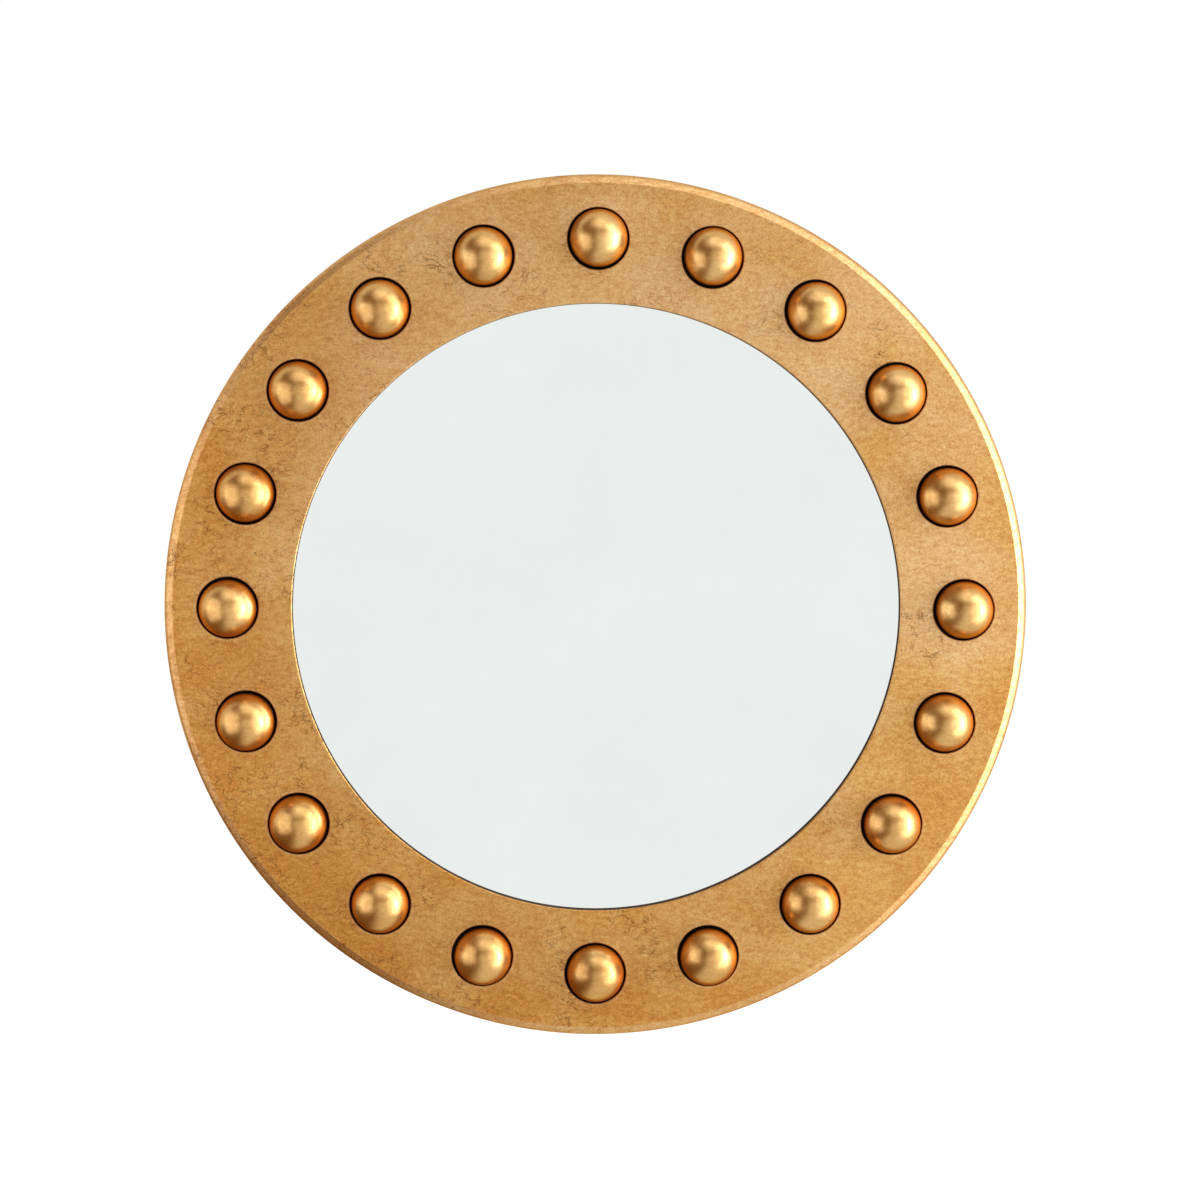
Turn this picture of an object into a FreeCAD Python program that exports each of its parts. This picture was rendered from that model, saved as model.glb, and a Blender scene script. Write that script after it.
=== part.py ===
"""A round wall mirror: a gilded board ring set with gilded wooden balls around a flat glass.

The ring is bored through once for each ball. A black backing ring closes the bores, carries the
balls on screws and clamps the glass with its felt tape and board into the front ring's rebate.
Two wire rings in folded straps hang the mirror, and four rubber bumpers keep it off the wall.

Axes: X to the right seen from the room, Z up, and Y from the room (-Y) to the wall (+Y).
Origin: the mirror's centre, in the wall plane that the bumpers touch. Lengths are millimetres.
"""

import FreeCAD, Part

import math
import os
import re

import Sketcher

PARTS_FOLDER = "parts"
VECTOR = FreeCAD.Vector
WALLWARDS = VECTOR(0, 1, 0)
RIGHTWARDS = VECTOR(1, 0, 0)
SAME_PLACE = 1e-6
OUT_LEFT = 1
OUT_RIGHT = -1
LEFT_AND_RIGHT = (("left", -1), ("right", 1))
UPPER_AND_LOWER = (("upper", 1), ("lower", -1))

# Driving dimensions in millimetres and, where the name says so, degrees or a count.
SIZES = (
    ("frame_diameter", "914.4", "gilded ring across its widest"),
    ("front_thickness", "25.4", "board of the gilded ring"),
    ("ring_width", "135.2", "gilded face, from its widest to the sight edge around the glass"),
    ("sight_round", "1.2", "eased sight edge"),
    ("rebate_width", "10", "how far the lip covers the glass"),
    ("bevel_width", "5.3", "sloped outer margin of the face, measured in the face"),
    ("bevel_angle", "30", "degrees by which that margin falls away"),
    ("edge_round", "8.6", "rounding from the margin to the side"),
    ("back_arris", "1.5", "broken edge at the back of each ring"),
    ("ball_count", "20", "balls around the ring"),
    ("ball_diameter", "60.4", "turned ball"),
    ("ball_flat", "1.5", "cut off the back of the ball for its flat seat"),
    ("ball_gap", "2.3", "room around the ball in its bored hole"),
    ("bore_round", "1.1", "eased mouth of that hole"),
    ("back_thickness", "9", "board of the backing ring"),
    ("back_inset", "5", "backing ring inside the front ring's side"),
    ("board_overlap", "20", "backing ring over the glass board"),
    ("glass_thickness", "4", "silvered float glass"),
    ("glass_play", "1.5", "room around the glass in the rebate"),
    ("glass_arris", "0.6", "ground edges of the glass"),
    ("tape_thickness", "1", "felt between glass and board"),
    ("tape_width", "10", "felt ring, across"),
    ("tape_inset", "4", "felt ring inside the edge of the glass"),
    ("board_thickness", "12", "board behind the glass"),
    ("ball_screw_head", "4", "head radius"),
    ("ball_screw_shank", "2", "shank radius"),
    ("ball_screw_length", "30", "whole length"),
    ("ball_screw_point", "4", "length of the tapered point"),
    ("ring_screw_head", "3.5", "head radius"),
    ("ring_screw_shank", "1.75", "shank radius"),
    ("ring_screw_length", "25", "whole length"),
    ("ring_screw_point", "3.5", "length of the tapered point"),
    ("ring_screw_margin", "14", "from the board's edge to a screw circle"),
    ("screw_fit", "0.05", "room around a screw in its hole"),
    ("hanger_balls", "3", "balls from the top one to the last one above a hanger"),
    ("strap_thickness", "1.2", "steel strip of the hanger strap"),
    ("strap_width", "16", "hanger strap, across"),
    ("strap_length", "44", "from the ring's bar to the strap's lower end"),
    ("strap_corner", "4", "rounded lower corners of the strap"),
    ("strap_slope", "45", "degrees of the slope from the loop to the doubled strip"),
    ("wire_radius", "1.8", "wire of the hanger ring"),
    ("bar_play", "0.08", "room around the wire in the strap's loop"),
    ("side_play", "1", "from the strap's side to the bend of the wire"),
    ("wire_bend", "5", "bend from the bar to each leg of the ring"),
    ("ring_leg", "5", "straight leg of the ring"),
    ("rest_gap", "0.3", "between the hanging ring and its strap"),
    ("hanger_screw_head", "3.75", "head radius"),
    ("hanger_screw_rise", "2.2", "height of the pan head"),
    ("hanger_screw_round", "1.4", "rounded rim of the pan head"),
    ("hanger_screw_shank", "2", "shank radius"),
    ("hanger_screw_length", "16", "length under the head"),
    ("hanger_screw_point", "3.5", "length of the tapered point"),
    ("first_screw", "10.5", "from the ring's bar to the upper screw"),
    ("screw_pitch", "25", "between the two screws of a strap"),
    ("bumper_balls", "2", "balls from the top or bottom one to the last one before a bumper"),
    ("bumper_radius", "11", "rubber bumper"),
    ("bumper_height", "8", "rubber bumper, board to wall"),
    ("bumper_round", "2.5", "rounded rim of the bumper"),
)

# Depths along Y.
BACK = "(-bumper_height)"
SEAM = f"({BACK} - back_thickness)"
FACE = f"({SEAM} - front_thickness)"
BOARD_FRONT = f"({SEAM} - board_thickness)"
TAPE_FRONT = f"({BOARD_FRONT} - tape_thickness)"
LIP_BACK = f"({TAPE_FRONT} - glass_thickness)"

# A ball and its hole, drawn about the ball's own centre.
BALL = "(ball_diameter / 2)"
BORE = f"({BALL} + ball_gap)"
SEAT = f"({BALL} - ball_flat)"
BALL_CENTRE = f"({SEAM} - {SEAT})"

# Radii from the mirror's centre.
FRAME = "(frame_diameter / 2)"
SIGHT = f"({FRAME} - ring_width)"
REBATE = f"({SIGHT} + rebate_width)"
GLASS = f"({REBATE} - glass_play)"
BACK_OUTER = f"({FRAME} - back_inset)"
BACK_INNER = f"({REBATE} - board_overlap)"
BALL_CIRCLE = f"({FRAME} - ring_width / 2)"
RING_SCREW_CIRCLES = (
    ("outer", f"({BACK_OUTER} - ring_screw_margin)"),
    ("inner", f"({REBATE} + ring_screw_margin)"),
)

# Angles in degrees. Hangers and bumpers stand midway between two balls.
BALL_STEP = "(360 / ball_count)"
MIDWAY = f"({BALL_STEP} / 2)"
HANGER_ANGLE = f"(hanger_balls * {BALL_STEP} - {MIDWAY})"
BUMPER_ANGLE = f"(bumper_balls * {BALL_STEP} - {MIDWAY})"

# The hanger: its strap lies with its middle on the circle through the balls.
LOOP = "(wire_radius + bar_play)"
BAR_HEIGHT = f"(strap_thickness + {LOOP})"
STRAP_TOP = f"(2 * strap_thickness - {BAR_HEIGHT})"
BEND_START = "(strap_width / 2 + side_play)"
RING_HALF = f"({BEND_START} + wire_bend)"
CROSSING = f"(wire_bend + ring_leg + sqrt({RING_HALF}^2 - (strap_width / 2)^2))"
REST_ANGLE = f"asin((strap_thickness + rest_gap - bar_play) / {CROSSING})"
HANGER_X = f"({BALL_CIRCLE} * sin{HANGER_ANGLE})"
HANGER_Z = f"({BALL_CIRCLE} * cos{HANGER_ANGLE} + strap_length / 2)"
BUMPER_X = f"({BALL_CIRCLE} * sin{BUMPER_ANGLE})"
BUMPER_Z = f"({BALL_CIRCLE} * cos{BUMPER_ANGLE})"

doc = FreeCAD.newDocument("round_mirror")
sheet = doc.addObject("Spreadsheet::Sheet", "Dimensions")
for row, (alias, size, meaning) in enumerate(SIZES, start=1):
    sheet.set(f"A{row}", size)
    sheet.setAlias(f"A{row}", alias)
    sheet.set(f"B{row}", meaning)
doc.recompute()


def amount(formula):
    """Return the present value of a formula of driving dimensions."""
    return float(sheet.evalExpression(formula))


def bind(target, property_path, formula):
    """Bind a property to a formula of driving dimensions (every alias has an underscore)."""
    linked = re.sub(r"\b([a-z]+(?:_[a-z]+)+)\b", r"Dimensions.\1", formula)
    target.setExpression(property_path, linked)


def new_body(label):
    """Return a new body whose label names its file."""
    body = doc.addObject("PartDesign::Body", label)
    body.Label = label
    return body


def origin_feature(body, role):
    """Return the plane or axis of a body's own origin that has this role."""
    return next(feature for feature in body.Origin.OriginFeatures if feature.Role == role)


def new_sketch(body, name, plane="XY_Plane", right="0", up="0"):
    """Return a sketch on one of the body's planes, moved by right in X and by up in Z."""
    sketch = body.newObject("Sketcher::SketchObject", name)
    sketch.AttachmentSupport = [(origin_feature(body, plane), "")]
    sketch.MapMode = "FlatFace"
    bind(sketch, "AttachmentOffset.Base.x", right)
    bind(sketch, "AttachmentOffset.Base.z", up)
    return sketch


def rounded(radius, side, start, end):
    """Return the arc of this radius from start to end that bulges out left or right of the way."""
    middle = (start + end) / 2
    half = (end - start).Length / 2
    sagitta = radius - math.sqrt(max(radius**2 - half**2, 0))
    way = (end - start).normalize()
    return Part.Arc(start, middle + VECTOR(-way.y, way.x, 0) * side * sagitta, end)


def pin(sketch, curve, end, formula, across):
    """Hold one coordinate of a curve's end to a formula, or on the axis where that is zero."""
    if formula == "0":
        axis = -2 if across else -1
        sketch.addConstraint(Sketcher.Constraint("PointOnObject", curve, end, axis))
        return
    kind = "DistanceX" if across else "DistanceY"
    size = amount(formula)
    index = sketch.addConstraint(Sketcher.Constraint(kind, -1, 1, curve, end, size))
    bind(sketch, f"Constraints[{index}]", formula)


def outline(sketch, *corners):
    """Draw a closed outline through corners of two formulas each.

    A corner with two more entries, a radius formula and a side, starts an arc to the next one.
    """
    places = [VECTOR(amount(corner[0]), amount(corner[1]), 0) for corner in corners]
    curves = []
    for number, corner in enumerate(corners):
        start, end = places[number], places[(number + 1) % len(corners)]
        if len(corner) == 2:
            curves.append(sketch.addGeometry(Part.LineSegment(start, end), False))
            continue
        radius, side = corner[2:]
        arc = rounded(amount(radius), side, start, end)
        curve = sketch.addGeometry(arc, False)
        index = sketch.addConstraint(Sketcher.Constraint("Radius", curve, amount(radius)))
        bind(sketch, f"Constraints[{index}]", radius)
        curves.append(curve)
    for number, corner in enumerate(corners):
        curve, before, place = curves[number], curves[number - 1], places[number]
        here = end_at(sketch, curve, place)
        there = end_at(sketch, before, place)
        sketch.addConstraint(Sketcher.Constraint("Coincident", before, there, curve, here))
        pin(sketch, curve, here, corner[0], across=True)
        pin(sketch, curve, here, corner[1], across=False)


def end_at(sketch, curve, place):
    """Return which end of a curve, 1 or 2, lies at a place."""
    return 1 if (sketch.getPoint(curve, 1) - place).Length < SAME_PLACE else 2


def circle(sketch, radius):
    """Draw a circle about the sketch's own origin."""
    size = amount(radius)
    curve = sketch.addGeometry(Part.Circle(VECTOR(), VECTOR(0, 0, 1), size), False)
    sketch.addConstraint(Sketcher.Constraint("Coincident", curve, 3, -1, 1))
    index = sketch.addConstraint(Sketcher.Constraint("Radius", curve, size))
    bind(sketch, f"Constraints[{index}]", radius)


def turned(body, name, corners, right="0", up="0", kind="PartDesign::Revolution"):
    """Turn an outline of (radius, depth) corners about the line along Y through (right, up)."""
    sketch = new_sketch(body, f"{name}_outline", right=right, up=up)
    outline(sketch, *corners)
    feature = body.newObject(kind, name)
    feature.Profile = sketch
    feature.ReferenceAxis = (sketch, ["V_Axis"])
    feature.Angle = 360
    return feature


def bored(body, name, corners, right="0", up="0"):
    """Cut away what an outline sweeps when it turns about the line along Y through (right, up)."""
    return turned(body, name, corners, right, up, "PartDesign::Groove")


def repeated(body, feature, count):
    """Repeat a feature evenly around the mirror's axis."""
    pattern = body.newObject("PartDesign::PolarPattern", f"{feature.Name}_ring")
    pattern.Originals = [feature]
    pattern.Axis = (origin_feature(body, "Y_Axis"), [""])
    pattern.Angle = 360
    bind(pattern, "Occurrences", count)
    body.Tip = pattern


def place(body, right, depth, up):
    """Put a body that is drawn about its own origin where it belongs in the mirror."""
    bind(body, "Placement.Base.x", right)
    bind(body, "Placement.Base.y", depth)
    bind(body, "Placement.Base.z", up)


def countersunk(kind, depth, play="0"):
    """Return a countersunk screw's outline, head flush at this depth, or its hole with play."""
    head, shank = f"({kind}_head + {play})", f"({kind}_shank + {play})"
    neck = f"{depth} - ({kind}_head - {kind}_shank)"
    shoulder = f"{depth} - ({kind}_length - {kind}_point)"
    tip = f"{depth} - {kind}_length - {play}"
    return (("0", depth), (head, depth), (shank, neck), (shank, shoulder), ("0", tip))


def shank_hole(depth):
    """Return the outline of the hole for a hanger screw whose head seats at this depth."""
    wall = "(hanger_screw_shank + screw_fit)"
    shoulder = f"{depth} - (hanger_screw_length - hanger_screw_point)"
    tip = f"{depth} - hanger_screw_length - screw_fit"
    return (("0", depth), (wall, depth), (wall, shoulder), ("0", tip))


def hanger_screw_places():
    """Yield a name and the place across and up of each hanger screw."""
    for side, sign in LEFT_AND_RIGHT:
        for level, pitches in (("upper", 0), ("lower", 1)):
            drop = f"(first_screw + {pitches} * screw_pitch)"
            yield f"{side}_{level}", f"{sign} * {HANGER_X}", f"{HANGER_Z} - {drop}"


def bore_screw_holes(body):
    """Bore the holes that the ring screws and the hanger screws share between the two rings."""
    for name, radius in RING_SCREW_CIRCLES:
        hole = bored(
            body,
            f"{body.Label}_{name}_screw_hole",
            countersunk("ring_screw", BACK, "screw_fit"),
            right=f"{radius} * sin{MIDWAY}",
            up=f"{radius} * cos{MIDWAY}",
        )
        repeated(body, hole, "ball_count")
    strap_top = f"({BACK} + 2 * strap_thickness)"
    for name, right, up in hanger_screw_places():
        bored(body, f"{body.Label}_{name}_hole", shank_hole(strap_top), right, up)


def make_front_ring():
    """Turn the gilded ring, then bore its ball holes and its screw holes."""
    body = new_body("front_ring")
    bevel_fall = "bevel_width * tan(bevel_angle)"
    round_across = f"({FRAME} - edge_round * (1 - sin(bevel_angle)))"
    round_down = f"({FACE} + {bevel_fall} + edge_round * cos(bevel_angle))"
    turned(
        body,
        "gilded_board",
        (
            (REBATE, SEAM),
            (f"{FRAME} - back_arris", SEAM),
            (FRAME, f"{SEAM} - back_arris"),
            (FRAME, round_down, "edge_round", OUT_LEFT),
            (round_across, f"{FACE} + {bevel_fall}"),
            (f"{round_across} - bevel_width", FACE),
            (f"{SIGHT} + sight_round", FACE, "sight_round", OUT_LEFT),
            (SIGHT, f"{FACE} + sight_round"),
            (SIGHT, LIP_BACK),
            (REBATE, LIP_BACK),
        ),
    )
    hole = bored(
        body,
        "ball_hole",
        (
            ("0", SEAM),
            (BORE, SEAM),
            (BORE, f"{FACE} + bore_round", "bore_round", OUT_RIGHT),
            (f"{BORE} + bore_round", FACE),
            ("0", FACE),
        ),
        up=BALL_CIRCLE,
    )
    repeated(body, hole, "ball_count")
    bore_screw_holes(body)


def make_backing_ring():
    """Turn the black backing ring, then bore it for every screw."""
    body = new_body("backing_ring")
    turned(
        body,
        "black_board",
        (
            (BACK_INNER, SEAM),
            (BACK_OUTER, SEAM),
            (BACK_OUTER, f"{BACK} - back_arris"),
            (f"{BACK_OUTER} - back_arris", BACK),
            (f"{BACK_INNER} + back_arris", BACK),
            (BACK_INNER, f"{BACK} - back_arris"),
        ),
    )
    hole_outline = countersunk("ball_screw", BACK, "screw_fit")
    hole = bored(body, "ball_screw_hole", hole_outline, up=BALL_CIRCLE)
    repeated(body, hole, "ball_count")
    bore_screw_holes(body)


def make_balls():
    """Turn each ball with a flat seat on the backing ring and a hole for its screw.

    Ball 01 is at the top, and the rest follow clockwise as seen from the room.
    """
    seat_radius = f"sqrt({BALL}^2 - {SEAT}^2)"
    for number in range(int(amount("ball_count"))):
        label = f"ball_{number + 1:02d}"
        body = new_body(label)
        turned(
            body,
            f"{label}_sphere",
            (
                ("0", f"-{BALL}", BALL, OUT_RIGHT),
                (BALL, "0", BALL, OUT_RIGHT),
                (seat_radius, SEAT),
                ("0", SEAT),
            ),
        )
        head = f"({SEAT} + back_thickness)"
        bored(body, f"{label}_screw_hole", countersunk("ball_screw", head, "screw_fit"))
        angle = f"({number} * {BALL_STEP})"
        place(body, f"{BALL_CIRCLE} * sin{angle}", BALL_CENTRE, f"{BALL_CIRCLE} * cos{angle}")
        body.Placement.Rotation = FreeCAD.Rotation(WALLWARDS, 0)
        bind(body, "Placement.Rotation.Angle", angle)


def make_glass_stack():
    """Make the glass against the lip, its felt tape and the board that closes the rebate."""
    glass = new_body("mirror_glass")
    turned(
        glass,
        "float_glass",
        (
            ("0", LIP_BACK),
            (f"{GLASS} - glass_arris", LIP_BACK),
            (GLASS, f"{LIP_BACK} + glass_arris"),
            (GLASS, f"{TAPE_FRONT} - glass_arris"),
            (f"{GLASS} - glass_arris", TAPE_FRONT),
            ("0", TAPE_FRONT),
        ),
    )
    tape = new_body("felt_tape")
    tape_outer = f"({GLASS} - tape_inset)"
    tape_inner = f"({tape_outer} - tape_width)"
    turned(
        tape,
        "felt",
        (
            (tape_inner, TAPE_FRONT),
            (tape_outer, TAPE_FRONT),
            (tape_outer, BOARD_FRONT),
            (tape_inner, BOARD_FRONT),
        ),
    )
    board = new_body("glass_board")
    turned(
        board,
        "fibre_board",
        (("0", BOARD_FRONT), (GLASS, BOARD_FRONT), (GLASS, SEAM), ("0", SEAM)),
    )


def make_wood_screws():
    """Turn the screws that hold the balls and those that join the two rings."""
    ball_screws = new_body("ball_screws")
    screw_outline = countersunk("ball_screw", BACK)
    screw = turned(ball_screws, "ball_screw", screw_outline, up=BALL_CIRCLE)
    repeated(ball_screws, screw, "ball_count")

    ring_screws = new_body("ring_screws")
    for name, radius in RING_SCREW_CIRCLES:
        screw = turned(
            ring_screws,
            f"{name}_ring_screw",
            countersunk("ring_screw", BACK),
            right=f"{radius} * sin{MIDWAY}",
            up=f"{radius} * cos{MIDWAY}",
        )
        repeated(ring_screws, screw, "ball_count")


def make_hanger_screws():
    """Turn the pan-head screws that go through the straps into the boards."""
    body = new_body("hanger_screws")
    seat = f"({BACK} + 2 * strap_thickness)"
    crown = f"({seat} + hanger_screw_rise)"
    shoulder = f"{seat} - (hanger_screw_length - hanger_screw_point)"
    rim = "hanger_screw_round"
    for name, right, up in hanger_screw_places():
        turned(
            body,
            f"{name}_screw",
            (
                ("0", crown),
                (f"hanger_screw_head - {rim}", crown, rim, OUT_LEFT),
                ("hanger_screw_head", f"{crown} - {rim}"),
                ("hanger_screw_head", seat),
                ("hanger_screw_shank", seat),
                ("hanger_screw_shank", shoulder),
                ("0", f"{seat} - hanger_screw_length"),
            ),
            right,
            up,
        )


def make_hanger_strap(side, sign):
    """Fold a strap around the ring's bar, drawn about the bar, and bore it for its screws."""
    body = new_body(f"hanger_strap_{side}")
    sketch = new_sketch(body, f"{side}_strap_outline", "YZ_Plane")
    slope_top = f"({BAR_HEIGHT} * cos(strap_slope))"
    slope_up = f"(-{BAR_HEIGHT} * sin(strap_slope))"
    slope_run = f"(({slope_top} - {STRAP_TOP}) / tan(strap_slope))"
    outline(
        sketch,
        (f"-{BAR_HEIGHT}", "0", BAR_HEIGHT, OUT_LEFT),
        ("0", BAR_HEIGHT, BAR_HEIGHT, OUT_LEFT),
        (slope_top, slope_up),
        (STRAP_TOP, f"{slope_up} - {slope_run}"),
        (STRAP_TOP, "-strap_length"),
        (f"-{BAR_HEIGHT}", "-strap_length"),
    )
    circle(sketch, LOOP)
    strip = body.newObject("PartDesign::Pad", f"{side}_strip")
    strip.Profile = sketch
    strip.SideType = "Symmetric"
    bind(strip, "Length", "strap_width")
    doc.recompute()
    length = amount("strap_length")
    corners = [
        f"Edge{number}"
        for number, edge in enumerate(strip.Shape.Edges, start=1)
        if all(abs(vertex.Z + length) < SAME_PLACE for vertex in edge.Vertexes)
        and abs(edge.Vertexes[0].Y - edge.Vertexes[-1].Y) > SAME_PLACE
    ]
    fillet = body.newObject("PartDesign::Fillet", f"{side}_strap_corners")
    fillet.Base = (strip, corners)
    bind(fillet, "Radius", "strap_corner")
    for level, pitches in (("upper", 0), ("lower", 1)):
        drop = f"-(first_screw + {pitches} * screw_pitch)"
        bored(body, f"{side}_strap_{level}_hole", shank_hole(STRAP_TOP), up=drop)
    place(body, f"{sign} * {HANGER_X}", f"{BACK} + {BAR_HEIGHT}", HANGER_Z)


def make_hanger_ring(side, sign):
    """Bend a wire ring whose bar lies in the strap's loop and that hangs down against the strap."""
    body = new_body(f"hanger_ring_{side}")
    path = new_sketch(body, f"{side}_wire_path", "XZ_Plane")
    bottom = "(-(wire_bend + ring_leg))"
    outline(
        path,
        ("0", "0"),
        (BEND_START, "0", "wire_bend", OUT_LEFT),
        (RING_HALF, "-wire_bend"),
        (RING_HALF, bottom, RING_HALF, OUT_LEFT),
        ("0", f"{bottom} - {RING_HALF}", RING_HALF, OUT_LEFT),
        (f"-{RING_HALF}", bottom),
        (f"-{RING_HALF}", "-wire_bend", "wire_bend", OUT_LEFT),
        (f"-{BEND_START}", "0"),
    )
    section = new_sketch(body, f"{side}_wire_section", "YZ_Plane")
    circle(section, "wire_radius")
    wire = body.newObject("PartDesign::AdditivePipe", f"{side}_wire")
    wire.Profile = section
    wire.Spine = (path, [])
    place(body, f"{sign} * {HANGER_X}", f"{BACK} + {BAR_HEIGHT}", HANGER_Z)
    body.Placement.Rotation = FreeCAD.Rotation(RIGHTWARDS, 0)
    bind(body, "Placement.Rotation.Angle", REST_ANGLE)


def make_bumper(level, side, upwards, rightwards):
    """Turn one rubber bumper between the backing ring and the wall."""
    body = new_body(f"bumper_{level}_{side}")
    turned(
        body,
        f"{level}_{side}_rubber",
        (
            ("0", BACK),
            ("bumper_radius", BACK),
            ("bumper_radius", "-bumper_round", "bumper_round", OUT_RIGHT),
            ("bumper_radius - bumper_round", "0"),
            ("0", "0"),
        ),
    )
    place(body, f"{rightwards} * {BUMPER_X}", "0", f"{upwards} * {BUMPER_Z}")


def check_features():
    """Stop if an object failed, a sketch is loose, a cut took nothing away or a body is unsound."""
    for item in doc.Objects:
        if "Invalid" in item.State or "Error" in item.State:
            raise RuntimeError(f"{item.Label} failed: {item.State}")
        if item.TypeId == "Sketcher::SketchObject" and not item.FullyConstrained:
            raise RuntimeError(f"{item.Label} isn't fully constrained")
        if item.TypeId == "PartDesign::Groove":
            if item.Shape.Volume >= item.BaseFeature.Shape.Volume:
                raise RuntimeError(f"{item.Label} cut nothing")
        if item.TypeId == "PartDesign::Body":
            if item.Shape.isNull() or not item.Shape.isValid():
                raise RuntimeError(f"{item.Label} has no sound shape")


make_front_ring()
make_backing_ring()
make_balls()
make_glass_stack()
make_wood_screws()
make_hanger_screws()
for side, sign in LEFT_AND_RIGHT:
    make_hanger_strap(side, sign)
    make_hanger_ring(side, sign)
for level, upwards in UPPER_AND_LOWER:
    for side, rightwards in LEFT_AND_RIGHT:
        make_bumper(level, side, upwards, rightwards)
doc.recompute()
check_features()

os.makedirs(PARTS_FOLDER, exist_ok=True)
for body in (item for item in doc.Objects if item.TypeId == "PartDesign::Body"):
    body.Shape.exportStep(os.path.join(PARTS_FOLDER, f"{body.Label}.step"))
    box = body.Shape.optimalBoundingBox()
    print(f"{body.Label}: {len(body.Shape.Solids)} solids, {body.Shape.Volume:.0f} mm3,",
          f"{box.XLength:.1f} x {box.YLength:.1f} x {box.ZLength:.1f} mm")
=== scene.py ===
"""Looks of a round wall mirror: a gilded board ring, pierced and set with gilded balls, around a glass.

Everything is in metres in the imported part's own frame: X to the right seen from the room, Z up,
Y from the room (-Y) to the wall (+Y). Sizes in fields whose names end in _mm are millimetres.
"""

import logging
import math
import random
from collections.abc import Iterable, Mapping, Sequence
from dataclasses import dataclass
from enum import Enum
from typing import Any

import bmesh
import bpy
from mathutils import Euler, Matrix, Vector


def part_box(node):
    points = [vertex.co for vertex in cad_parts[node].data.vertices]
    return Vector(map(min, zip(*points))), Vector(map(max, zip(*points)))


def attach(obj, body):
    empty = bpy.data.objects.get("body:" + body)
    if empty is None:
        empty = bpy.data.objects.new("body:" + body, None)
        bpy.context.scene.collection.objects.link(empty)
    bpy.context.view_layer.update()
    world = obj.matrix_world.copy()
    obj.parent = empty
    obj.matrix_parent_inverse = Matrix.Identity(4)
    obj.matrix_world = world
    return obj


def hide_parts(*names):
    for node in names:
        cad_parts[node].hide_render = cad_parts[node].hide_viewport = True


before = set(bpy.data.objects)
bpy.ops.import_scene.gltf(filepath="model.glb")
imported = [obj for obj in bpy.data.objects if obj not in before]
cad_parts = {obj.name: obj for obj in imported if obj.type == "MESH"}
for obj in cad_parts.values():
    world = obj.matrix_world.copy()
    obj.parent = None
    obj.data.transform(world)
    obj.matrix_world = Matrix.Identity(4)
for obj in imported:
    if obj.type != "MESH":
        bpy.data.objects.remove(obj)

LOG = logging.getLogger("mirror")
MM = 0.001
MERGE = 1e-6
RIGHT_ANGLE = math.radians(90)
ORIGIN = Vector((0, 0, 0))
ACROSS = Vector((1, 0, 0))
WALLWARDS = Vector((0, 1, 0))
BODY = "mirror"
Tree = bpy.types.NodeTree
Socket = bpy.types.NodeSocket
Material = bpy.types.Material
Shape = bmesh.types.BMesh
Vert = bmesh.types.BMVert
Edge = bmesh.types.BMEdge
Face = bmesh.types.BMFace
Pair = tuple[float, float]
Triple = tuple[float, float, float]


class Slot(Enum):
    """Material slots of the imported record."""

    RING = "gold_leaf"
    BALL = "gold_ball"
    BOARD = "black_board"
    GLASS = "silvered_glass"
    SCREW = "steel_screw"
    STRAP = "zinc_steel"
    WIRE = "zinc_wire"
    BUMPER = "rubber"


def linear(colour: str) -> tuple[float, float, float, float]:
    """Turn an sRGB colour into linear light.

    Args:
        colour: six hexadecimal digits after a #.

    Returns:
        Red, green, blue and an alpha of 1.
    """
    channels = [int(colour[place : place + 2], 16) / 255 for place in (1, 3, 5)]
    light = [c / 12.92 if c <= 0.04045 else ((c + 0.055) / 1.055) ** 2.4 for c in channels]
    return (*light, 1.0)


WHITE = linear("#ffffff")


def per_metre(size_mm: float) -> float:
    """Return the texture scale at which one period of a pattern is this many millimetres."""
    return 1 / (size_mm * MM)


def add_node(
    tree: Tree,
    kind: str,
    inputs: Mapping[str | int, Any] | Sequence[Any] = (),
    stops: Sequence[tuple[float, str]] = (),
    **settings: Any,
) -> bpy.types.NodeOutputs:
    """Add a node with its settings and links.

    Args:
        tree: the node tree that gets it.
        kind: the node's type without its ShaderNode prefix.
        inputs: values, or the sockets that feed them, in order or by name or number.
        stops: a colour ramp's places and hexadecimal colours.
        **settings: the node's own properties.

    Returns:
        The new node's outputs.
    """
    node = tree.nodes.new(f"ShaderNode{kind}")
    for name, setting in settings.items():
        setattr(node, name, setting)
    for key, value in inputs.items() if isinstance(inputs, Mapping) else enumerate(inputs):
        if isinstance(value, Socket):
            tree.links.new(value, node.inputs[key])
        else:
            node.inputs[key].default_value = value
    for number, (place, colour) in enumerate(stops):
        elements = node.color_ramp.elements
        element = elements[number] if number < len(elements) else elements.new(place)
        element.position = place
        element.color = linear(colour)
    return node.outputs


def start_material(name: str) -> tuple[Material, Tree, Socket]:
    """Begin a material.

    Args:
        name: the finish's name.

    Returns:
        The material, its emptied node tree and the piece's own coordinates.
    """
    material = bpy.data.materials.new(name)
    material.use_nodes = True
    tree = material.node_tree
    tree.nodes.clear()
    return material, tree, add_node(tree, "TexCoord")["Object"]


def end_material(tree: Tree, inputs: Mapping[str, Any], height: Socket, relief_mm: float) -> None:
    """Close a tree with its shader.

    Args:
        tree: the node tree.
        inputs: the shader's values and links.
        height: the relief, from 0 to 1.
        relief_mm: how high the relief stands at 1.
    """
    bump = add_node(tree, "Bump", {"Distance": relief_mm * MM, "Height": height})
    shader = add_node(tree, "BsdfPrincipled", {**inputs, "Normal": bump[0]})
    add_node(tree, "OutputMaterial", (shader[0],))


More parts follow.
